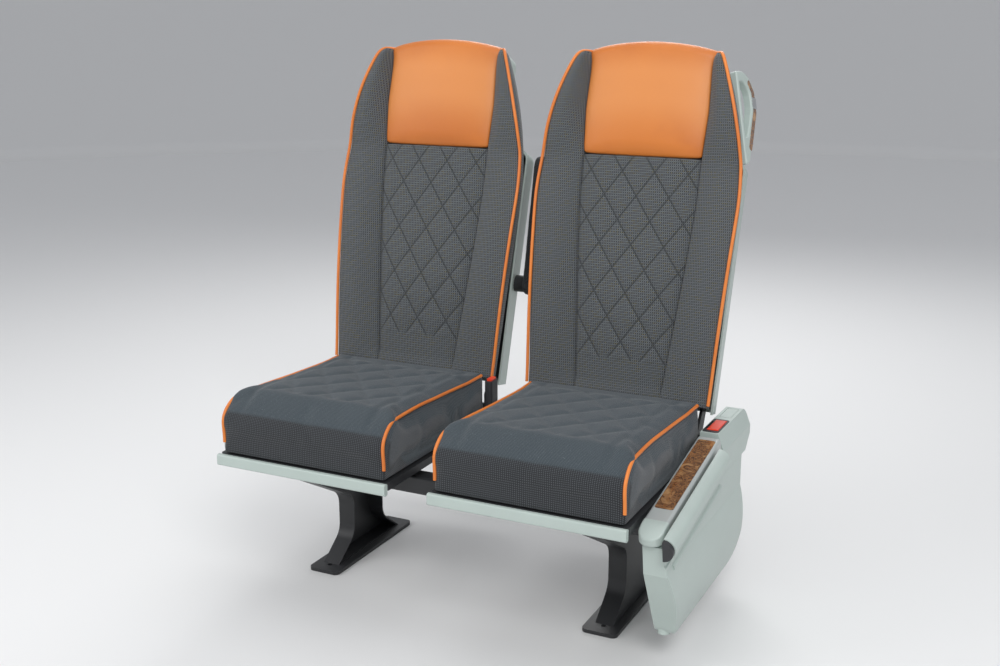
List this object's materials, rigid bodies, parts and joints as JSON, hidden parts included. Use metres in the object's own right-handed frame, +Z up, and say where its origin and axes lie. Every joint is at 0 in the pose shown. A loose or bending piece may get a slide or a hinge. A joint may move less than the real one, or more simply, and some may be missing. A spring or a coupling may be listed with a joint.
{
  "type": "twin coach passenger seat",
  "caption": "Twin coach seat with reclining backs, leather headrests, aisle armrest and console, grab handle, middle armrest, fold-down tables and footrests.",
  "frame": {"origin": "on the floor, at the centre of the four floor bolts", "axes": "+Z up, the seats face -Y, +X towards the aisle"},
  "size_m": [1.01, 0.7402, 1.1427],
  "materials": {
    "fabric": "woven, charcoal with light dashes",
    "leather": "smooth orange-tan",
    "grey_plastic": "satin light grey-green",
    "steel": "dark powder coat",
    "dark_plastic": "fine grain",
    "rubber": "matte",
    "chrome": "polished",
    "arm_silver": "satin",
    "wood": "glossy burl",
    "orange_plastic": "satin",
    "arm_fabric": "plain woven"
  },
  "bodies": {
    "frame": {"leg_aisle": "steel", "leg_window": "steel", "front_tube": "steel", "rear_tube": "steel", "slide_rails": "steel", "pan_mounts_window": "steel", "pan_window": "steel", "cushion_window": "fabric", "front_trim_window": "grey_plastic", "recliner_plates_window": "steel", "buckle_window": "dark_plastic", "buckle_button_window": "orange_plastic", "side_cap": "grey_plastic", "footrest_lugs_aisle": "steel", "footrest_lugs_window": "steel"},
    "aisle_carriage": {"slide_blocks": "steel", "pan_aisle": "steel", "cushion_aisle": "fabric", "front_trim_aisle": "grey_plastic", "recliner_plates_aisle": "steel", "side_console": "grey_plastic", "buckle_aisle": "dark_plastic", "buckle_button_aisle": "orange_plastic", "side_cover": "grey_plastic", "rail_cover": "grey_plastic", "rail_ring": "dark_plastic"},
    "back_aisle": {"back_pad_aisle": "fabric", "back_panel_aisle": "fabric", "headrest_aisle": "leather", "back_shell_aisle": "grey_plastic", "back_hinge_aisle": "steel", "grab_handle": "grey_plastic", "handle_strip": "wood", "handle_plate": "chrome", "pocket_aisle": "dark_plastic", "table_lugs_aisle": "steel", "table_latch_aisle": "dark_plastic"},
    "back_window": {"back_pad_window": "fabric", "back_panel_window": "fabric", "headrest_window": "leather", "back_shell_window": "grey_plastic", "back_hinge_window": "steel", "pocket_window": "dark_plastic", "table_lugs_window": "steel", "table_latch_window": "dark_plastic", "middle_mount": "steel"},
    "aisle_armrest": {"armrest_frame": "arm_silver", "armrest_inlay": "wood", "armrest_nose": "grey_plastic", "armrest_posts": "steel"},
    "middle_armrest": {"middle_armrest": "arm_fabric"},
    "table_aisle": {"table_aisle": "dark_plastic"},
    "table_window": {"table_window": "dark_plastic"},
    "footrest_aisle": {"footrest_aisle": "steel", "footrest_pad_aisle": "rubber"},
    "footrest_window": {"footrest_window": "steel", "footrest_pad_window": "rubber"}
  },
  "joints": [
    {"name": "aisle_seat_slide", "type": "slide", "parent": "frame", "child": "aisle_carriage", "axis": [1, 0, 0], "range_m": [0, 0.05]},
    {"name": "recline_aisle", "type": "hinge", "parent": "aisle_carriage", "child": "back_aisle", "pos_m": [0.25, 0.15, 0.335], "axis": [-1, 0, 0], "range_deg": [0, 18]},
    {"name": "recline_window", "type": "hinge", "parent": "frame", "child": "back_window", "pos_m": [-0.25, 0.15, 0.335], "axis": [-1, 0, 0], "range_deg": [0, 18]},
    {"name": "aisle_armrest_lift", "type": "slide", "parent": "aisle_carriage", "child": "aisle_armrest", "axis": [0, 0, 1], "range_m": [0, 0.2]},
    {"name": "middle_armrest_fold", "type": "hinge", "parent": "back_window", "child": "middle_armrest", "pos_m": [0, 0.23212, 0.6122], "axis": [1, 0, 0], "range_deg": [0, 100]},
    {"name": "table_aisle_fold", "type": "hinge", "parent": "back_aisle", "child": "table_aisle", "pos_m": [0.25, 0.29733, 0.69464], "axis": [-1, 0, 0], "range_deg": [0, 77]},
    {"name": "table_window_fold", "type": "hinge", "parent": "back_window", "child": "table_window", "pos_m": [-0.25, 0.29733, 0.69464], "axis": [-1, 0, 0], "range_deg": [0, 77]},
    {"name": "footrest_aisle_swing", "type": "hinge", "parent": "frame", "child": "footrest_aisle", "pos_m": [0.25, 0.104, 0.262], "axis": [-1, 0, 0], "range_deg": [0, 50]},
    {"name": "footrest_window_swing", "type": "hinge", "parent": "frame", "child": "footrest_window", "pos_m": [-0.25, 0.104, 0.262], "axis": [-1, 0, 0], "range_deg": [0, 50]}
  ]
}
